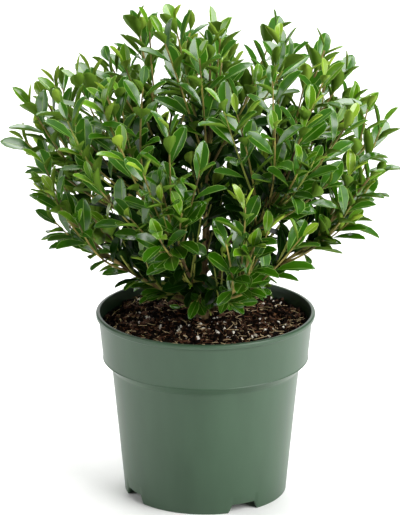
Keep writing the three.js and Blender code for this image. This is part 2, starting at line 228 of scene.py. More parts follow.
LOW_LEAF_RUN = 90 * MM  # up from the mix, over which leaves reach their full size, and over which the painted shade on their colour lifts
SHED_SHARE = 0.4  # of the leaves at the foot of the crown, shed in its shade
SHED_RUN = 140 * MM  # up from the mix, over which that share falls to none
LEAF_SPREAD_STRAY = 0.17
LEAF_SIZE_STRAY = 0.14
LEAF_LENGTH_STRAY = 0.06
LEAF_WIDTH_STRAY = 0.14
LEAF_FOLD_STRAY = 0.5
LEAF_ARCH_STRAY = 0.8
LEAF_TILT = 0.45  # how far leaf faces turn up to the light
LEAF_ROLL = 0.3  # how far they roll about their own length
MOST_LEAVES = 40  # on one shoot
LIMB_LEAFY = 0.8  # leafy shares of the shoots' lengths, from their tips
TWIG_LEAFY = 0.9
SPRIG_LEAFY = 0.95
LEAST_VIGOUR = 0.1  # youth of a weak shoot's tip; a vigorous one's is 1
YOUNG_LIMIT = 0.64  # least youth of a young leaf
FRESH_LIMIT = 0.32
YOUTH_STRAY = 0.16
OLD_SHADE_DEPTH = 0.36  # least depth of a leaf that takes the darkest tone, which is painted shade, as a share of the shoots' reach
DEPTH_STRAY = 0.1
LEAF_KEY = 50  # first key of the leaves' chances
KIND_KEYS = 10  # keys for each kind of shoot
VIGOUR_KEY = 9  # the one for its vigour
ARCH_DEAL = 50  # spreads a leaf's chance out to draw its arch from it


# Arrays

HASH_FIRST = 12.9898
HASH_SECOND = 78.233
HASH_GAIN = 43758.5453
RIPPLE_WAVES = 9
RIPPLE_PITCH = (0.7, 1.5)  # fewest and most waves to the given size
RIPPLE_GAIN = 1.6  # brings the waves' mean to about 1 at its peaks


def unit(vectors):
    """Vectors scaled to a length of one along the last axis."""
    return vectors / np.linalg.norm(vectors, axis=-1, keepdims=True)


def mix(a, b, share):
    """A straight mix of two values: the first at share 0 and the second at share 1."""
    return a + (b - a) * share


def smooth(share):
    """An S-shaped step from 0 to 1: three squares less two cubes of the clipped share."""
    share = np.clip(share, 0, 1)
    return share * share * (3 - 2 * share)


def vary(a, b=0):
    """A repeatable number from -1 to 1 for each pair of keys: the fraction of a large multiple of a sine."""
    wave = np.sin(SEED + np.asarray(a) * HASH_FIRST + np.asarray(b) * HASH_SECOND) * HASH_GAIN
    return 2 * (wave - np.floor(wave)) - 1


def ripple(points, size, key):
    """Smooth unevenness of about the given size: the mean of sine waves in directions dealt by the key."""
    deal = np.random.default_rng(key)
    direction = unit(deal.normal(size=(RIPPLE_WAVES, 3)))
    wave = direction * deal.uniform(*RIPPLE_PITCH, (RIPPLE_WAVES, 1)) * 2 * np.pi / size
    phase = deal.uniform(0, 2 * np.pi, RIPPLE_WAVES)
    return np.sin(points @ wave.T + phase).mean(axis=-1) * RIPPLE_GAIN


# Faces are lists of index arrays, and each array's rows are the corners of like faces


def grid_faces(rows, columns, ring=False):
    """The squares of a grid of points whose columns close round. A ring closes its rows too; otherwise a
    face closes each end. They point outwards where columns run anticlockwise about the way that rows run."""
    row = np.arange(rows if ring else rows - 1)[:, None]
    column = np.arange(columns)[None, :]
    next_row = (row + 1) % rows
    next_column = (column + 1) % columns
    squares = [row * columns + column, row * columns + next_column]
    squares += [next_row * columns + next_column, next_row * columns + column]
    faces = [np.stack(squares, axis=-1).reshape(-1, 4)]
    if not ring:
        faces.append(np.stack([np.arange(columns)[::-1], np.arange(columns) + (rows - 1) * columns]))
    return faces


def repeated(faces, copies, points_each):
    """The same faces for each of many copies of a shape, whose points follow one another."""
    offset = (np.arange(copies) * points_each)[:, None, None]
    return [(offset + corners).reshape(-1, corners.shape[1]) for corners in faces]


def add_piece(name, points, faces, materials, slot, nodes, tones=None, crease=None):
    """One mesh object at the origin from arrays of points and faces, smooth except past the crease angle.
    Tones are each face's material. It rides on the plant's one body and stands for the nodes."""
    corners = np.concatenate([array.ravel() for array in faces])
    sizes = np.concatenate([np.full(len(array), array.shape[1]) for array in faces])
    mesh = bpy.data.meshes.new(name)
    points = np.asarray(points).reshape(-1, 3)
    mesh.vertices.add(len(points))
    mesh.vertices.foreach_set("co", points.astype(np.float32).ravel())
    mesh.loops.add(len(corners))
    mesh.loops.foreach_set("vertex_index", corners.astype(np.int32))
    mesh.polygons.add(len(sizes))
    mesh.polygons.foreach_set("loop_start", (np.cumsum(sizes) - sizes).astype(np.int32))
    if tones is not None:
        mesh.polygons.foreach_set("material_index", tones.astype(np.int32))
    mesh.update(calc_edges=True)
    mesh.shade_smooth()
    if crease is not None:
        mesh.set_sharp_from_angle(angle=crease)
    for material in materials:
        mesh.materials.append(material)
    piece = bpy.data.objects.new(name, mesh)
    bpy.context.collection.objects.link(piece)
    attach(piece, "root")
    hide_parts(*nodes)


# Materials


def linear(colour):
    """An sRGB hex colour as linear red, green, blue and alpha."""
    parts = np.array([int(colour[i : i + 2], 16) for i in (1, 3, 5)]) / 255
    parts = np.where(parts > 0.04045, ((parts + 0.055) / 1.055) ** 2.4, parts / 12.92)
    return (*parts.tolist(), 1.0)


def feed(tree, target, inputs):
    """Gives a node its inputs. Each is a plain value, or the output socket that feeds it."""
    for key, value in inputs.items():
        if isinstance(value, bpy.types.NodeSocket):
            tree.links.new(value, target.inputs[key])
        else:
            target.inputs[key].default_value = value


def node(tree, kind, output, inputs=None, stops=(), **settings):
    """Adds one node with its settings and links, and returns the named output. Stops are a colour ramp's
    places and hex colours."""
    added = tree.nodes.new(kind)
    for key, value in settings.items():
        setattr(added, key, value)
    feed(tree, added, inputs or {})
    for place, _ in stops[2:]:
        added.color_ramp.elements.new(place)
    for i, (place, colour) in enumerate(stops):
        added.color_ramp.elements[i].position = place
        added.color_ramp.elements[i].color = linear(colour)
    return added.outputs[output]


def new_material(name):
    """A material, its node tree and its one shader."""
    material = bpy.data.materials.new(name)
    material.use_nodes = True
    tree = material.node_tree
    return material, tree, tree.nodes["Principled BSDF"]


def moulded_polypropylene():
    """Thin green polypropylene, injection moulded: an even satin skin, faint cloudy flow marks along the
    pull of the mould, and a fine spark-eroded grain that softens its reflections. The grain is drawn at
    twice its real size, so that it shows."""
    material, tree, shader = new_material("moulded_polypropylene")
    place = node(tree, "ShaderNodeTexCoord", "Object")
    pull = node(tree, "ShaderNodeMapping", "Vector", {"Vector": place, "Scale": (1, 1, 0.3)})
    flow = node(tree, "ShaderNodeTexNoise", "Fac", {"Vector": pull, "Scale": 1 / (26 * MM), "Detail": 3.0})
    shades = [(0.3, "#314a35"), (0.7, "#3a543e")]
    green = node(tree, "ShaderNodeValToRGB", "Color", {"Fac": flow}, stops=shades)
    polish = node(tree, "ShaderNodeMapRange", "Result", {"Value": flow, "To Min": 0.34, "To Max": 0.42})
    grain = node(tree, "ShaderNodeTexNoise", "Fac", {"Vector": place, "Scale": 1 / (1.1 * MM)})
    skin = node(tree, "ShaderNodeBump", "Normal", {"Height": grain, "Distance": 0.05 * MM, "Strength": 0.4})
    feed(tree, shader, {"Base Color": green, "Roughness": polish, "Normal": skin, "IOR": 1.49})
    return material


def peat_mix():
    """Moist peat and composted bark: nearly black, matt, with rusty and tan crumbs."""
    material, tree, shader = new_material("peat_mix")
    place = node(tree, "ShaderNodeTexCoord", "Object")
    crumb_size = {"Vector": place, "Scale": 1 / (3.2 * MM), "Detail": 6.0}
    crumb = node(tree, "ShaderNodeTexNoise", "Fac", crumb_size)
    shades = [(0.34, "#020100"), (0.5, "#100804"), (0.61, "#2b1a0f"), (0.74, "#735033")]
    brown = node(tree, "ShaderNodeValToRGB", "Color", {"Fac": crumb}, stops=shades)
    grit_size = {"Vector": place, "Scale": 1 / (1.6 * MM), "Detail": 5.0}
    grit = node(tree, "ShaderNodeTexNoise", "Fac", grit_size)
    skin = node(tree, "ShaderNodeBump", "Normal", {"Height": grit, "Distance": 1.0 * MM})
    feed(tree, shader, {"Base Color": brown, "Normal": skin, "Roughness": 0.95, "Specular IOR Level": 0.1})
    return material


def loose_bits(name, colour, roughness):
    """Loose bits in the mix, each kind of one colour with a dusty, uneven skin."""
    material, tree, shader = new_material(name)
    place = node(tree, "ShaderNodeTexCoord", "Object")
    dust = node(tree, "ShaderNodeTexNoise", "Fac", {"Vector": place, "Scale": 1 / (1.2 * MM), "Detail": 4.0})
    skin = node(tree, "ShaderNodeBump", "Normal", {"Height": dust, "Distance": 0.3 * MM})
    feed(tree, shader, {"Base Color": linear(colour), "Roughness": roughness, "Normal": skin})
    return material


def holly_bark():
    """Smooth young holly bark: tan over olive, streaked along the limb, with pale pores and fine cracks."""
    material, tree, shader = new_material("holly_bark")
    place = node(tree, "ShaderNodeTexCoord", "Object")
    grain = node(tree, "ShaderNodeMapping", "Vector", {"Vector": place, "Scale": (1, 1, 0.25)})
    streak_size = {"Vector": grain, "Scale": 1 / (2.2 * MM), "Detail": 5.0}
    streak = node(tree, "ShaderNodeTexNoise", "Fac", streak_size)
    shades = [(0.3, "#2b2114"), (0.5, "#574629"), (0.68, "#7d6a40"), (0.8, "#9d8a60")]
    tan = node(tree, "ShaderNodeValToRGB", "Color", {"Fac": streak}, stops=shades)
    skin = node(tree, "ShaderNodeBump", "Normal", {"Height": streak, "Distance": 0.4 * MM})
    feed(tree, shader, {"Base Color": tan, "Normal": skin, "Roughness": 0.8, "Specular IOR Level": 0.3})
    return material


def young_bark(name, dark, light):
    """Skin of a one-year twig: thin and satin, in stretches of darker cork and of paler, bleached skin."""
    material, tree, shader = new_material(name)
    place = node(tree, "ShaderNodeTexCoord", "Object")
    blotch_size = {"Vector": place, "Scale": 1 / (18 * MM), "Detail": 3.0}
    blotch = node(tree, "ShaderNodeTexNoise", "Fac", blotch_size)
    shade = node(tree, "ShaderNodeValToRGB", "Color", {"Fac": blotch}, stops=[(0.35, dark), (0.65, light)])
    pore_size = {"Vector": place, "Scale": 1 / (1.5 * MM), "Detail": 3.0}
    pores = node(tree, "ShaderNodeTexNoise", "Fac", pore_size)
    skin = node(tree, "ShaderNodeBump", "Normal", {"Height": pores, "Distance": 0.15 * MM})
    feed(tree, shader, {"Base Color": shade, "Normal": skin, "Roughness": 0.6, "Specular IOR Level": 0.4})
    return material


def leaf_skin(name, colour, roughness, wax):
    """Holly leaf: one plain colour, with faint blisters between the veins that break up its shine. The upper
    side's wax is a clear satin coat."""
    material, tree, shader = new_material(name)
    place = node(tree, "ShaderNodeTexCoord", "Object")
    blister_size = {"Vector": place, "Scale": 1 / (4 * MM), "Detail": 2.0}
    blister = node(tree, "ShaderNodeTexNoise", "Fac", blister_size)
    skin = node(tree, "ShaderNodeBump", "Normal", {"Height": blister, "Distance": 0.3 * MM, "Strength": 0.5})
    feed(tree, shader, {"Base Color": linear(colour), "Roughness": roughness, "Normal": skin})
    feed(tree, shader, {"Specular IOR Level": 0.05, "IOR": 1.45})
    feed(tree, shader, {"Coat Weight": wax, "Coat Roughness": 0.19, "Coat IOR": 1.65})
    return material


def studio_paper():
    """Seamless background paper: nearly white and matt, with a trace of mottle from its pulp."""
    material, tree, shader = new_material("studio_paper")
    place = node(tree, "ShaderNodeTexCoord", "Object")
    pulp = node(tree, "ShaderNodeTexNoise", "Fac", {"Vector": place, "Scale": 1 / (40 * MM)})
    shades = [(0.3, "#f6f6f5"), (0.7, "#f9f9f8")]
    white = node(tree, "ShaderNodeValToRGB", "Color", {"Fac": pulp}, stops=shades)
    feed(tree, shader, {"Base Color": white, "Roughness": 0.9, "Specular IOR Level": 0.1})
    return material


# Studio


def add_camera():
    """A camera on a long lens in front of the plant, aimed at the target."""
    data = bpy.data.cameras.new("camera")
    data.lens = LENS
    camera = bpy.data.objects.new("camera", data)
    back = Vector((0, -np.cos(VIEW_ELEVATION), np.sin(VIEW_ELEVATION)))
    camera.location = VIEW_TARGET + back * VIEW_DISTANCE
    camera.rotation_euler = (-back).to_track_quat("-Z", "Y").to_euler()
    bpy.context.collection.objects.link(camera)
    bpy.context.scene.camera = camera


def add_light(name, place, width, power):
    """A square soft box that faces the plant."""
    data = bpy.data.lights.new(name, "AREA")
    data.size = width
    data.energy = power
    light = bpy.data.objects.new(name, data)
    light.location = place
    light.rotation_euler = (VIEW_TARGET - light.location).to_track_quat("-Z", "Y").to_euler()
    bpy.context.collection.objects.link(light)


def add_studio():
    """A pale floor, an even white surround, and soft boxes: key on the right, fill on the left, top
    and a weak one low behind."""
    half = FLOOR_HALF
    mesh = bpy.data.meshes.new("floor")
    corners = [(-half, -half, 0), (half, -half, 0), (half, half, 0), (-half, half, 0)]
    mesh.from_pydata(corners, [], [(0, 1, 2, 3)])
    mesh.materials.append(studio_paper())
    floor = bpy.data.objects.new("floor", mesh)
    bpy.context.collection.objects.link(floor)
    world = bpy.data.worlds.new("surround")
    world.use_nodes = True
    feed(world.node_tree, world.node_tree.nodes["Background"], {"Color": (1, 1, 1, 1), "Strength": SURROUND})
    bpy.context.scene.world = world
    bpy.context.scene.view_settings.view_transform = "Standard"
    add_light("key", **KEY_LIGHT)
    add_light("fill", **FILL_LIGHT)
    add_light("top", **TOP_LIGHT)
    add_light("back", **BACK_LIGHT)


# Pot


def rounded_outline(corners):
    """A closed outline of (radius, height, rounding) corners. Each corner becomes a quadratic curve that
    starts and ends its rounding away from the corner."""
    corners = np.array(corners)
    place = corners[:, :2]
    rounding = corners[:, 2:]
    before = place + unit(np.roll(place, 1, axis=0) - place) * rounding
    after = place + unit(np.roll(place, -1, axis=0) - place) * rounding
    t = np.linspace(0, 1, CORNER_STEPS)[None, :, None]
    curve = (1 - t) ** 2 * before[:, None] + 2 * t * (1 - t) * place[:, None] + t**2 * after[:, None]
    return curve.reshape(-1, 2)


def body_radius(height):
    """Outside radius of the pot's straight body."""
    return mix(POT_BASE_RADIUS, BODY_TOP_RADIUS, height / BODY_TOP_HEIGHT)


def turned(outline, steps):
    """An outline of (radius, height) points turned about the vertical axis, as rows of points."""
    turn = np.arange(steps) * 2 * np.pi / steps
    radius, height = outline[:, :1], outline[:, 1:]
    return np.stack([radius * np.cos(turn), radius * np.sin(turn), height + 0 * turn], axis=-1)


def wall_outline():
    """The wall's section: out and up from the foot, over the rolled lip and down inside."""
    fine, soft = FINE_ROUNDING, SOFT_ROUNDING
    band_radius = body_radius(NOTCH_BAND)
    lip_foot = POT_HEIGHT - LIP_HEIGHT
    return rounded_outline([
        (POT_BASE_RADIUS, 0, fine),
        (band_radius, NOTCH_BAND, fine),
        (BODY_TOP_RADIUS, BODY_TOP_HEIGHT, soft),
        (COLLAR_FOOT_RADIUS, COLLAR_FOOT_HEIGHT, COLLAR_BEAD),
        (COLLAR_FOOT_RADIUS + COLLAR_BEAD, COLLAR_FOOT_HEIGHT + COLLAR_BEAD, COLLAR_BEAD / 2),
        (COLLAR_FOOT_RADIUS, COLLAR_FOOT_HEIGHT + 2 * COLLAR_BEAD, COLLAR_BEAD / 2),
        (COLLAR_TOP_RADIUS, lip_foot - fine, fine),
        (POT_RIM_RADIUS, lip_foot, fine),
        (POT_RIM_RADIUS, POT_HEIGHT, soft),
        (COLLAR_TOP_RADIUS - POT_WALL / 2, POT_HEIGHT, fine),
        (COLLAR_TOP_RADIUS - POT_WALL, lip_foot, fine),
        (COLLAR_FOOT_RADIUS - POT_WALL, COLLAR_FOOT_HEIGHT, soft),
        (BODY_TOP_RADIUS - POT_WALL, BODY_TOP_HEIGHT, soft),
        (band_radius - POT_WALL, NOTCH_BAND, fine),
        (POT_BASE_RADIUS - POT_WALL, 0, fine),
    ])


def floor_sector(radius, turn):
    """A sector of the floor plate with a drain hole: rays from the hole's middle out to the sector's edge,
    which is the nearer of the pot's wall and the sector's two straight sides."""
    ray = np.arange(DRAIN_STEPS) * 2 * np.pi / DRAIN_STEPS
    run = DRAIN_RING * np.cos(ray)
    to_wall = np.sqrt(run**2 + radius**2 - DRAIN_RING**2) - run
    toward_side = np.abs(np.sin(ray)) - np.cos(ray)
    to_side = DRAIN_RING / np.maximum(toward_side, 1e-6)  # rays that miss the sides run far past the wall
    edge = np.minimum(to_wall, to_side)
    hole = np.full(DRAIN_STEPS, DRAIN_RADIUS)
    reach = np.stack([edge, edge, hole, hole])
    low, high = FLOOR_HEIGHT, FLOOR_HEIGHT + FLOOR_THICKNESS
    height = np.array([low, high, high, low])[:, None] + 0 * ray
    x = DRAIN_RING + reach * np.cos(ray)
    y = reach * np.sin(ray)
    turned_x = x * np.cos(turn) - y * np.sin(turn)
    turned_y = x * np.sin(turn) + y * np.cos(turn)
    return np.stack([turned_x, turned_y, height], axis=-1)


def add_pot():
    """The wall is its section turned about the axis. Near the foot its heights are squeezed up to make room
    for the notches, whose ends slant. The floor is a plate in four sectors, each with a drain hole."""
    plastic = moulded_polypropylene()
    points = turned(wall_outline(), POT_STEPS)
    front = np.arctan2(points[..., 0], -points[..., 1])
    pitch = 2 * np.pi / NOTCHES
    off_notch = np.abs((front - NOTCH_TURN + pitch / 2) % pitch - pitch / 2) * POT_BASE_RADIUS
    slant = (NOTCH_FOOT_WIDTH / 2 - off_notch) / (NOTCH_FOOT_WIDTH / 2 - NOTCH_TOP_WIDTH / 2)
    lift = NOTCH_HEIGHT * smooth(slant)
    height = points[..., 2]
    points[..., 2] = height + lift * np.clip(1 - height / NOTCH_BAND, 0, 1)
    rows, columns = points.shape[:2]
    add_piece("pot_wall", points, grid_faces(rows, columns, ring=True), [plastic], "pot_plastic", ["pot"])

    radius = body_radius(FLOOR_HEIGHT) - POT_WALL / 2
    sectors = [floor_sector(radius, NOTCH_TURN - np.pi / 2 + n * pitch) for n in range(NOTCHES)]
    rows, columns = sectors[0].shape[:2]
    faces = repeated(grid_faces(rows, columns, ring=True), NOTCHES, rows * columns)
    points = np.stack(sectors)
    add_piece("pot_floor", points, faces, [plastic], "pot_plastic", ["pot"], crease=FLOOR_CREASE)


# Potting mix


def mix_height(x, y):
    """Height of the mix's top: a low mound with hollows, lumps and crumbs from three sizes of ripples."""
    flat = np.stack([x, y, 0 * x], axis=-1)
    mound = mix(MIX_TOP, MIX_EDGE, smooth(np.hypot(x, y) / MIX_RADIUS))
    hollows = HOLLOW_DEPTH * ripple(flat, HOLLOW_SIZE, 1)
    lumps = LUMP_DEPTH * ripple(flat, LUMP_SIZE, 2)
    crumbs = CRUMB_DEPTH * ripple(flat, CRUMB_SIZE, 3)
    return mound + hollows + lumps + crumbs


def scattered(count, deal, clear):
    """Points dealt evenly over the mix's top, clear of the trunk and the wall."""
    radius = np.sqrt(deal.uniform(clear**2, (MIX_RADIUS - WALL_CLEARANCE) ** 2, count))
    turn = deal.uniform(0, 2 * np.pi, count)
    x, y = radius * np.cos(turn), radius * np.sin(turn)
    return np.stack([x, y, mix_height(x, y)], axis=-1)


def add_bits(name, count, key, material, smallest, largest, slim=1.0, lift=0.5, limit=EVERYWHERE):
    """Bits on the mix: balls of a few faces, with their points pushed in and out and each turned and
    stretched at random. Slim ones are drawn out along one axis. The lift is a share of a bit's size. Bits
    lie where a broad ripple is above the limit."""
    rings, sides = 3, 6
    deal = np.random.default_rng(key)
    size = mix(smallest, largest, deal.uniform(0, 1, (count, 1)) ** 2)
    places = scattered(count, deal, TRUNK_CLEARANCE)
    kept = ripple(places, PATCH_SIZE, key) > limit
    size, places = size[kept], places[kept] + UP * lift * size[kept]
    count = len(places)
    level = np.linspace(-BIT_LEVEL, BIT_LEVEL, rings)[:, None]
    turn = np.arange(sides) * 2 * np.pi / sides
    girth = np.sqrt(1 - level**2)
    ball = np.stack([girth * np.cos(turn), girth * np.sin(turn), level + 0 * turn], axis=-1)
    ball = ball.reshape(1, -1, 3) * deal.uniform(*BIT_DENTS, (count, rings * sides, 1))
    long = unit(deal.normal(size=(count, 3)) * [1, 1, 1 / slim])
    wide = unit(np.cross(long, deal.normal(size=(count, 3))))
    axes = np.stack([wide, np.cross(long, wide), long * slim], axis=1)
    axes = axes * (size * deal.uniform(*BIT_STRETCH, (count, 3)))[..., None]
    points = places[:, None] + np.einsum("npk,nkx->npx", ball, axes)
    faces = repeated(grid_faces(rings, sides), count, rings * sides)
    add_piece(name, points, faces, [material], "potting_mix", ["potting_mix"], crease=BIT_CREASE)


def add_fibres(name, count, key, material):
    """Coir and bark fibres: thin bent tubes that lie on the mix in every direction."""
    deal = np.random.default_rng(key)
    start = scattered(count, deal, FIBRE_TRUNK_CLEARANCE) + UP * FIBRE_RADIUS
    turn = deal.uniform(0, 2 * np.pi, count)
    lie = np.stack([np.cos(turn), np.sin(turn), deal.uniform(*FIBRE_SLOPE, count)], axis=-1)
    lie = lie * deal.uniform(*FIBRE_LENGTH, (count, 1))
    bow = np.cross(lie, UP) * deal.uniform(-FIBRE_BOW, FIBRE_BOW, (count, 1)) + UP * FIBRE_RISE
    curves = np.stack([start, start + lie / 2 + bow, start + lie], axis=1)
    inside = np.hypot(curves[:, 2, 0], curves[:, 2, 1]) < MIX_RADIUS - FIBRE_END_CLEARANCE
    points, faces = tubes(curves[inside], FIBRE_RADIUS, FIBRE_RADIUS / 2, sides=4, steps=5)
    add_piece(name, points, faces, [material], "potting_mix", ["potting_mix"])


def add_mix():
    """The mix is a closed body: a flat foot, the pot's slope, and the uneven top. Crumbs, bark chips and
    splinters, perlite and fibres lie on it."""
    soil = peat_mix()
    inset = POT_WALL + MIX_CLEARANCE
    edge = np.array([
        (MIX_FOOT_RING, MIX_FOOT),
        (body_radius(MIX_FOOT) - inset, MIX_FOOT),
        (BODY_TOP_RADIUS - inset, BODY_TOP_HEIGHT),
        (COLLAR_FOOT_RADIUS - inset, COLLAR_FOOT_HEIGHT),
    ])
    rings = np.linspace(1, MIX_PEAK_RING, MIX_RINGS) * MIX_RADIUS
    outline = np.concatenate([edge, np.stack([rings, np.full(MIX_RINGS, MIX_EDGE)], axis=-1)])
    points = turned(outline, MIX_STEPS)
    top = points[len(edge) :]
    top[..., 2] = mix_height(top[..., 0], top[..., 1])
    faces = grid_faces(*points.shape[:2])
    add_piece("potting_mix_body", points, faces, [soil], "potting_mix", ["potting_mix"])

    chip = loose_bits("composted_bark", "#553622", 0.85)
    rust = loose_bits("rusty_coir", "#7a4c2f", 0.85)
    tan = loose_bits("bleached_coir", "#e6cb9c", 0.8)
    white = loose_bits("expanded_perlite", "#f0eadd", 0.9)
    add_bits("mix_crumbs", CRUMBS, 11, soil, 0.7 * MM, 2.8 * MM)
    add_bits("mix_bark_chips", CHIPS, 12, chip, 0.7 * MM, 2.2 * MM, slim=1.6)
    add_bits("mix_splinters", SPLINTERS, 13, tan, 0.5 * MM, 1.0 * MM, slim=2.6)
    add_bits("mix_perlite", PERLITE, 553, white, 0.7 * MM, 1.9 * MM, lift=0.8, limit=PATCH_LIMIT)
    add_fibres("mix_rust_fibres", RUST_FIBRES, 15, rust)
    add_fibres("mix_tan_fibres", TAN_FIBRES, 16, tan)


# Growth: the solids' rule. A curve is a start, a bend and a tip, and curves are arrays of them

CURVE_STEPS = 32


def on_curves(curves, t):
    """Points of quadratic curves at a row of parameters for each: (1-t)² start + 2t(1-t) bend + t² tip."""
    start, bend, tip = curves[:, None, 0], curves[:, None, 1], curves[:, None, 2]
    t = t[..., None]
    return (1 - t) ** 2 * start + 2 * t * (1 - t) * bend + t**2 * tip


def headings(curves, t):
    """Unit tangents of quadratic curves at one row of parameters for each."""
    start, bend, tip = curves[:, None, 0], curves[:, None, 1], curves[:, None, 2]
    t = t[..., None]
    return unit((1 - t) * (bend - start) + t * (tip - bend))


def run_lengths(curves):
    """Lengths run along each curve at even steps of its parameter, added up from short chords."""
    t = np.tile(np.linspace(0, 1, CURVE_STEPS + 1), (len(curves), 1))
    chords = np.linalg.norm(np.diff(on_curves(curves, t), axis=1), axis=-1)
    return np.pad(chords.cumsum(axis=1), ((0, 0), (1, 0)))


def at_lengths(curves, distances):
    """The parameters at which each curve has run the given distances."""
    steps = np.linspace(0, 1, CURVE_STEPS + 1)
    return np.stack([np.interp(d, run, steps) for d, run in zip(distances, run_lengths(curves))])


def at_shares(curves, shares):
    """The parameters at which each curve has run the given shares of its length."""
    return at_lengths(curves, shares * run_lengths(curves)[:, -1:])


def stretch(curves, first, last):
    """The part of each quadratic curve between two of its parameters."""
    ends = on_curves(curves, np.tile([first, last], (len(curves), 1)))
    weights = [(1 - first) * (1 - last), first * (1 - last) + last * (1 - first), first * last]
    bend = np.einsum("k,nkx->nx", weights, curves)
    return np.stack([ends[:, 0], bend, ends[:, 1]], axis=1)


def sideways(tangents, turn):
    """Unit vectors square to the tangents: level at turn 0, and turned about the tangents."""
    level = unit(np.cross(tangents, UP))
    return level * np.cos(turn)[..., None] + np.cross(tangents, level) * np.sin(turn)[..., None]


def spread_directions(count, lowest):
    """Directions from the cones' foot to points spread over the crown: a spiral by the golden angle."""
    n = np.arange(count)
    level = mix(lowest, 1, (n + 0.5) / count)
    girth = np.sqrt(1 - level**2)
    turn = n * GOLDEN_ANGLE + CROWN_TURN
    points = np.stack([girth * np.cos(turn), girth * np.sin(turn), level], axis=-1)
    return unit(points * CROWN_SIZE + CROWN_MIDDLE - CONE_FOOT)


def tips_along(directions, shares):
    """Points at the given shares of the way to the crown's outline, where each ray meets an ellipsoid. Low
    directions fall short of it, on the right most."""
    start = (CONE_FOOT - CROWN_MIDDLE) / CROWN_SIZE
    step = directions / CROWN_SIZE
    run = step @ start
    square = (step**2).sum(axis=-1)
    reach = (np.sqrt(run**2 + square * (1 - start @ start)) - run) / square
    level = np.maximum(0, 1 - directions[:, 2] / STEEP_RISE)
    drawn = FLANK_DRAW * (1 + RIGHT_DRAW * directions[:, 0]) * level
    return CONE_FOOT + directions * (reach * shares * (1 - drawn))[:, None]


def crown_level(points):
    """How far out points lie in the crown: 0 at its middle and 1 on its outline."""
    return np.linalg.norm((points - CROWN_MIDDLE) / CROWN_SIZE, axis=-1)


def crown_share(points):
    """How far out points lie from the cones' foot, as shares of the way to the shoots' furthest reach."""
    arm = points - CONE_FOOT
    distance = np.linalg.norm(arm, axis=-1)
    return distance / np.linalg.norm(tips_along(unit(arm), 1.0) - CONE_FOOT, axis=-1)


def trunk_curve():
    """The trunk's middle line, which leans at the top."""
    lean = np.array([-TRUNK_LEAN, 0, TRUNK_LENGTH])
    return np.stack([TRUNK_FOOT, TRUNK_FOOT + UP * TRUNK_LENGTH / 2, TRUNK_FOOT + lean])[None]


def on_trunk(shares):
    """Points at shares of the trunk's length."""
    trunk = trunk_curve()
    return on_curves(trunk, at_shares(trunk, shares[None]))[0]


def limb_curves(toward):
    """Limbs from the trunk to the masses' tips, higher masses from higher up. They sag and then turn up."""
    k = np.arange(MASSES)
    start = on_trunk(mix(LOWEST_BOUGH, HIGHEST_BOUGH, k / (MASSES - 1)))
    tip = tips_along(toward, LIMB_REACH + LIMB_STRAY * vary(k, 2))
    sag = LIMB_SAG * np.linalg.norm(tip - start, axis=-1, keepdims=True)
    return np.stack([start, (start + tip) / 2 - UP * sag, tip], axis=1)


def side_shoots(parents, toward, count, reach, stray, highest_foot, key):
    """Shoots of the next order. Their tips are spread over the crown, and each grows on the parent that
    points nearest to its tip. The widest leave lowest down. They leave forwards and turn up. Also returns
    the number of each one's parent."""
    n = np.arange(count)
    direction = spread_directions(count, LOWEST_TWIG)
    parent = (direction @ toward.T).argmax(axis=-1)
    direction = unit(mix(direction, toward[parent], SHOOT_INSET))
    tip = tips_along(direction, reach + stray * vary(n, key))
    spread = np.arccos(np.clip((direction * toward[parent]).sum(axis=-1), -1, 1))
    share = np.maximum(LOWEST_FOOT, highest_foot - FOOT_DROP * spread)
    carrier = parents[parent]
    t = at_shares(carrier, share[:, None])
    start = on_curves(carrier, t)[:, 0]
    length = np.linalg.norm(tip - start, axis=-1, keepdims=True)
    leave = unit(headings(carrier, t)[:, 0] + (tip - start) / length)
    bend = start + leave * length / 2 - UP * LIMB_SAG * length
    return np.stack([start, bend, tip], axis=1), parent


def basal_shoots():
    """Short shoots round the trunk's foot that arch out low over the mix, turned by the golden angle."""
    n = np.arange(BASAL_SHOOTS)
    start = on_trunk(mix(LOWEST_BASAL, HIGHEST_BASAL, n / (BASAL_SHOOTS - 1)))
    turn = n * GOLDEN_ANGLE
    out = np.stack([np.cos(turn), np.sin(turn), 0 * turn], axis=-1)
    length = BASAL_LENGTH * (1 + BASAL_STRAY * vary(n, 7))[:, None]
    rise = UP * BASAL_RISE * length
    return np.stack([start, start + out * length / 2 + rise, start + out * length + rise], axis=1)


# Wood


def tubes(curves, radius, tip_radius, sides, steps):
    """Round limbs along curves: rings square to the curve, with radii that taper evenly. They start at the
    normal of the curve's own plane, so they don't twist. Returns points and faces."""
    t = np.tile(np.linspace(0, 1, steps + 1), (len(curves), 1))
    middle = on_curves(curves, t)
    tangent = headings(curves, t)
    plane = np.cross(curves[:, 1] - curves[:, 0], curves[:, 2] - curves[:, 1])
    plane = plane + 1e-12  # a straight curve has no plane of its own
    first = np.repeat(unit(plane)[:, None], steps + 1, axis=1)
    first = unit(first - tangent * (first * tangent).sum(axis=-1, keepdims=True))
    second = np.cross(tangent, first)
    turn = np.arange(sides) * 2 * np.pi / sides
    ring = first[:, :, None] * np.cos(turn)[:, None] + second[:, :, None] * np.sin(turn)[:, None]
    size = mix(radius, tip_radius, t)[..., None, None]
    points = middle[:, :, None] + ring * size
    return points, repeated(grid_faces(steps + 1, sides), len(curves), (steps + 1) * sides)


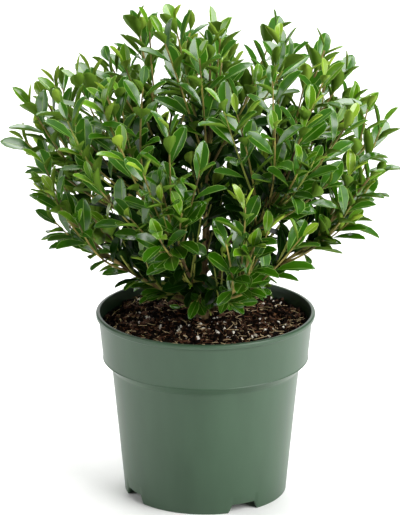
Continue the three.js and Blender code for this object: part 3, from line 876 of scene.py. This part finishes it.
def add_trunk(bark):
    """The trunk tapers and leans, and flares at its foot. Its relief is long ridges and fine cracks, worked
    out on a trunk of radius one."""
    steps = 60
    points, faces = tubes(trunk_curve(), 1.0, 1.0, sides=40, steps=steps)
    share = np.linspace(0, 1, steps + 1)[:, None, None]
    middle = points.mean(axis=2, keepdims=True)[0]
    out = points[0] - middle
    radius = mix(TRUNK_FOOT_RADIUS, TRUNK_TIP_RADIUS, share) + TRUNK_FLARE * np.exp(-FLARE_FADE * share)
    ridges = RIDGE_DEPTH * ripple(out * [1, 1, 0] + middle * RIDGE_CHANGE, RIDGE_SIZE, 21)
    cracks = CRACK_DEPTH * ripple(out + middle * CRACK_CHANGE, CRACK_SIZE, 22)
    points = middle + out * radius * (1 + ridges + cracks)[..., None]
    add_piece("trunk_bark", points, faces, [bark], "bark", ["trunk"])


def add_boughs(boughs, bark):
    """Boughs taper from the trunk to their masses, with swellings and pores in their bark."""
    points, faces = tubes(boughs, BOUGH_RADIUS, BOUGH_TIP_RADIUS, sides=18, steps=30)
    middle = points.mean(axis=2, keepdims=True)
    swellings = SWELLING_DEPTH * ripple(points, SWELLING_SIZE, 23)
    pores = PORE_DEPTH * ripple(points, PORE_SIZE, 24)
    points = middle + (points - middle) * (1 + swellings + pores)[..., None]
    nodes = [f"bough_{k + 1}" for k in range(MASSES)]
    add_piece("bough_bark", points, faces, [bark], "bark", nodes)


# Leaves

ABOVE, BELOW, MIDRIB_AND_MARGIN_HIGHLIGHT = 0, 1, 2  # the leaf's parts
LEAF_AGES = ["young", "fresh", "mature", "old_shaded"]
LEAF_ACROSS = np.array([-1, -0.9, -0.05, 0.05, 0.9, 1])  # as shares of half the width
LEAF_ALONG = np.array([0, PETIOLE_SHARE, 0.27, 0.52, 0.77, 0.93])  # and then one point at the tip


def leaf_shape():
    """One leaf of unit length and half width. Across are the margins, the sides of the midrib, and a
    keel below; the margins are pale, a painted highlight along the edges. Along are the petiole and the
    blade, which ends in one tip point. The half width is a sine arch that is fullest past the middle, with
    blunted ends. Returns each point's place along, across and below."""
    blade = np.clip((LEAF_ALONG - PETIOLE_SHARE) / (1 - PETIOLE_SHARE), 0, 1)
    arch = np.sin(np.pi * blade**LEAF_SKEW) ** LEAF_POINT
    width = np.maximum(arch, PETIOLE_WIDTH / LEAF_WIDTH)[:, None]
    across = width * np.append(LEAF_ACROSS, 0)
    below = width * np.append(0 * LEAF_ACROSS, 1)
    along = LEAF_ALONG[:, None] + 0 * across
    return np.append(along, 1), np.append(across, 0), np.append(below, 0)


def leaf_faces():
    """The leaf's faces, and which of its parts each shows. The margins take the midrib's pale colour, which
    paints a highlight along the leaf's edges.
    """
    rows, above = len(LEAF_ALONG), len(LEAF_ACROSS)
    keel, columns = above, above + 1
    row = (np.arange(rows - 1) * columns)[:, None]
    column = np.arange(above - 1)
    first = row + column
    upper = np.stack([first, first + columns, first + columns + 1, first + 1], axis=-1).reshape(-1, 4)
    left = [0, keel, keel + columns, columns]
    right = [keel, above - 1, above - 1 + columns, keel + columns]
    lower = np.concatenate([row + left, row + right])
    last, tip = (rows - 1) * columns, rows * columns
    tip_upper = np.stack([last + column, tip + 0 * column, last + column + 1], axis=-1)
    tip_lower = np.array([[last, last + keel, tip], [last + keel, last + above - 1, tip]])
    foot = np.arange(columns)[None]
    strips = np.full(above - 1, ABOVE)
    # The middle strip is the pale midrib; the two outer strips are the margins, given its colour as a
    # painted highlight.
    strips[[0, len(strips) // 2, -1]] = MIDRIB_AND_MARGIN_HIGHLIGHT
    parts = [np.tile(strips, rows - 1), np.full(len(lower), BELOW), strips]
    parts += [np.full(len(tip_lower), BELOW), np.full(len(foot), BELOW)]
    return [upper, lower, tip_upper, tip_lower, foot], parts


def leaf_places(shoots, leafy, key):
    """Where leaves stand on shoots. From the tip down, nodes are crowded and then evenly spaced, turned by
    the golden angle. A leaf stands upright at the tip and spreads lower down, and its face turns to the
    light. In the shade low in the crown some are shed. Returns arrays with one row a leaf."""
    gaps = INTERNODE * (1 - np.exp(-(np.arange(MOST_LEAVES) + TIP_NODES) / TIP_CROWDING))
    from_tip = (gaps.cumsum() - gaps[0])[None, :]
    length = run_lengths(shoots)[:, -1:]
    keep = from_tip < leafy * length
    i = np.arange(MOST_LEAVES)[None, :]
    n = np.arange(len(shoots))[:, None]
    leaf = n * MOST_LEAVES + i
    t = at_lengths(shoots, length - from_tip)
    tangent = headings(shoots, t)
    outward = sideways(tangent, i * GOLDEN_ANGLE + np.pi * vary(n, key))
    lowness = 1 - np.exp(-from_tip / SPREAD_RUN)
    spread = mix(LEAF_SPREAD_TIP, LEAF_SPREAD, lowness) + LEAF_SPREAD_STRAY * vary(leaf, key + 1)
    spread = spread[..., None]
    along = tangent * np.cos(spread) + outward * np.sin(spread)
    roll = unit(np.cross(along, UP)) * LEAF_ROLL * vary(leaf, key + 2)[..., None]
    face = tangent * np.sin(spread) - outward * np.cos(spread) + UP * LEAF_TILT + roll
    face = unit(face - along * (face * along).sum(axis=-1, keepdims=True))
    root = on_curves(shoots, t)
    light = smooth((root[..., 2] - MIX_TOP) / LOW_LEAF_RUN)
    shed = SHED_SHARE * (1 - smooth((root[..., 2] - MIX_TOP) / SHED_RUN))
    keep = keep & ((vary(leaf, key + 5) + 1) / 2 > shed)
    size = mix(TIP_LEAF_SIZE, 1.0, smooth(from_tip / GROWTH_RUN)) * mix(LOW_LEAF_SIZE, 1.0, light)
    size = size * (1 + LEAF_SIZE_STRAY * vary(leaf, key + 3))
    places = {"root": root, "along": along, "face": face, "size": size, "light": light}
    places |= {"from_tip": from_tip + 0 * size, "shoot": n + 0 * i, "chance": vary(leaf, key + 4)}
    return {name: array[keep] for name, array in places.items()}


def leaf_points(places):
    """Points of all leaves: the unit leaf scaled, folded along its midrib so that the margins rise, arched
    along its length, and set in each leaf's own axes."""
    along, across, below = leaf_shape()
    size = places["size"][:, None]
    chance = places["chance"][:, None]
    length = LEAF_LENGTH * size * (1 + LEAF_LENGTH_STRAY * chance)
    half = LEAF_WIDTH / 2 * size * (1 - LEAF_WIDTH_STRAY * chance)
    fold = LEAF_FOLD * (1 + LEAF_FOLD_STRAY * chance)
    arch = LEAF_ARCH * (1 + LEAF_ARCH_STRAY * vary(ARCH_DEAL * chance))
    rise = half * fold * ((1 + LEAF_CUP) * np.abs(across) - LEAF_CUP * across**2)
    rise = rise + arch * length * along**2 - LEAF_KEEL * below
    side = np.cross(places["face"], places["along"])
    moves = [(places["along"], length * along), (side, half * across), (places["face"], rise)]
    return places["root"][:, None] + sum(axis[:, None] * amount[..., None] for axis, amount in moves)


def leaf_ages(places, vigour):
    """Each leaf's tone: young at the tips of vigorous shoots, fresh below them, darkest deep in the crown,
    which is painted shade over the darker green of older leaves. Youth also falls low in the crown, which
    paints shade into the low leaves' colour.
    """
    vigour = mix(LEAST_VIGOUR, 1, (vigour + 1) / 2)
    # Youth falls with the light low in the crown, which paints shade into the low leaves' colour.
    youth = np.exp(-places["from_tip"] / YOUNG_RUN) * vigour * places["light"]
    youth = youth + YOUTH_STRAY * places["chance"]
    middle = places["root"] + places["along"] * LEAF_LENGTH / 2
    depth = 1 - crown_share(middle) + DEPTH_STRAY * places["chance"]
    young, fresh, mature, old_shaded = range(len(LEAF_AGES))
    # Leaves deep in the crown take the darkest, near-black tone: painted shade over the darker green of
    # older leaves.
    tests = [youth > YOUNG_LIMIT, youth > FRESH_LIMIT, depth > OLD_SHADE_DEPTH]
    return np.select(tests, [young, fresh, old_shaded], mature)


def in_the_clear(points):
    """Whether whole leaves stay in the crown's reach and off the pot: above its rim, or inside it above the
    mix."""
    x, y, z = np.moveaxis(points, -1, 0)
    in_pot = (np.hypot(x, y) < MIX_RADIUS - WALL_LEAF_GAP) & (z > MIX_TOP + MIX_LEAF_GAP)
    return (((z > CROWN_FLOOR) | in_pot) & (crown_level(points) < LEAF_LIMIT)).all(axis=-1)


def leaf_skins():
    """The leaves' materials: for each part in turn, the four tones from young to the darkest, which is
    painted shade for leaves deep in the crown.
    """
    # The last colour of each list is the darkest tone: painted shade for leaves deep in the crown.
    above = ["#82a428", "#588708", "#2f6200", "#0d2c00"]
    below = ["#90aa38", "#769232", "#577624", "#1c340c"]
    rib_and_margin_highlight = ["#b0c468", "#9eba5a", "#7ca046", "#2e4e18"]
    wax = [0.9, 0.9, 0.9, 0.15]
    skins = [leaf_skin(f"{age}_leaf_face", c, 0.45, w) for age, c, w in zip(LEAF_AGES, above, wax)]
    skins += [leaf_skin(f"{age}_leaf_underside", c, 0.6, 0.0) for age, c in zip(LEAF_AGES, below)]
    skins += [leaf_skin(f"{age}_leaf_midrib_and_margin_highlight", c, 0.4, w / 3) for age, c, w in zip(LEAF_AGES, rib_and_margin_highlight, wax)]
    return skins


def add_leaves(shoot_kinds, foliage):
    """Grows leaves on each kind of shoots, given with their masses and the leafy share of their length, and
    joins them into one piece for every few masses."""
    groups = []
    for kind, (shoots, mass, leafy) in enumerate(shoot_kinds):
        key = LEAF_KEY + KIND_KEYS * kind
        places = leaf_places(shoots, leafy, key)
        places["mass"] = mass[places["shoot"]]
        places["age"] = leaf_ages(places, vary(places["shoot"], key + VIGOUR_KEY))
        groups.append(places)
    places = {name: np.concatenate([group[name] for group in groups]) for name in groups[0]}
    points = leaf_points(places)
    clear = in_the_clear(points)
    faces, parts = leaf_faces()
    skins = leaf_skins()
    names = ["lowest_leaves", "lower_leaves", "middle_leaves", "upper_leaves", "top_leaves"]
    per_piece = MASSES // len(names)
    for i, name in enumerate(names):
        chosen = clear & (places["mass"] // per_piece == i)
        count, points_each = points[chosen].shape[:2]
        ages = places["age"][chosen][:, None]
        tones = np.concatenate([(part * len(LEAF_AGES) + ages).ravel() for part in parts])
        nodes = foliage[i * per_piece : (i + 1) * per_piece]
        add_piece(name, points[chosen], repeated(faces, count, points_each), skins, "leaves", nodes, tones)


def add_plant():
    """Grows the limbs, twigs and sprigs, and then the leaves on them."""
    bark = holly_bark()
    toward = spread_directions(MASSES, LOWEST_MASS)
    limbs = limb_curves(toward)
    boughs = stretch(limbs, 0, BOUGH_SHARE)
    leaders = stretch(limbs, BOUGH_SHARE, 1)
    limb_mass = np.arange(MASSES)
    twig_rule = (TWIGS, TWIG_REACH, TWIG_STRAY, HIGHEST_TWIG_FOOT)
    twigs, twig_mass = side_shoots(leaders, toward, *twig_rule, key=4)
    shoots = np.concatenate([leaders, twigs])
    shoot_mass = np.concatenate([limb_mass, twig_mass])
    outward = unit(shoots[:, 2] - CONE_FOOT)
    sprig_rule = (SPRIGS, SPRIG_REACH, SPRIG_STRAY, HIGHEST_SPRIG_FOOT)
    sprigs, parent = side_shoots(shoots, outward, *sprig_rule, key=5)
    inner_rule = (INNER_SPRIGS, INNER_REACH, INNER_STRAY, HIGHEST_INNER_FOOT)
    inner, inner_mass = side_shoots(limbs, toward, *inner_rule, key=6)
    basal = basal_shoots()
    basal_mass = (unit(basal[:, 2] - CONE_FOOT) @ toward.T).argmax(axis=-1)
    foliage = [f"foliage_{k + 1}" for k in range(MASSES)]

    add_trunk(bark)
    add_boughs(boughs, bark)
    leader_bark = young_bark("leader_bark", "#4a3620", "#aa9454")
    leader_wood = tubes(leaders, BOUGH_TIP_RADIUS, LEADER_TIP_RADIUS, sides=8, steps=24)
    add_piece("leader_wood", *leader_wood, [leader_bark], "bark", foliage)
    twig_bark = young_bark("twig_bark", "#4c4020", "#a2964a")
    twig_wood = tubes(twigs, TWIG_RADIUS, TWIG_TIP_RADIUS, sides=6, steps=14)
    add_piece("twig_wood", *twig_wood, [twig_bark], "bark", foliage)
    sprig_bark = young_bark("sprig_bark", "#7c7c36", "#98a446")
    fine_shoots = np.concatenate([sprigs, inner, basal])
    sprig_wood = tubes(fine_shoots, SPRIG_RADIUS, SPRIG_TIP_RADIUS, sides=6, steps=8)
    add_piece("sprig_wood", *sprig_wood, [sprig_bark], "bark", foliage)
    add_leaves([
        (limbs, limb_mass, LIMB_LEAFY),
        (twigs, twig_mass, TWIG_LEAFY),
        (sprigs, shoot_mass[parent], SPRIG_LEAFY),
        (inner, inner_mass, SPRIG_LEAFY),
        (basal, basal_mass, SPRIG_LEAFY),
    ], foliage)


add_camera()
add_studio()
add_pot()
add_mix()
add_plant()
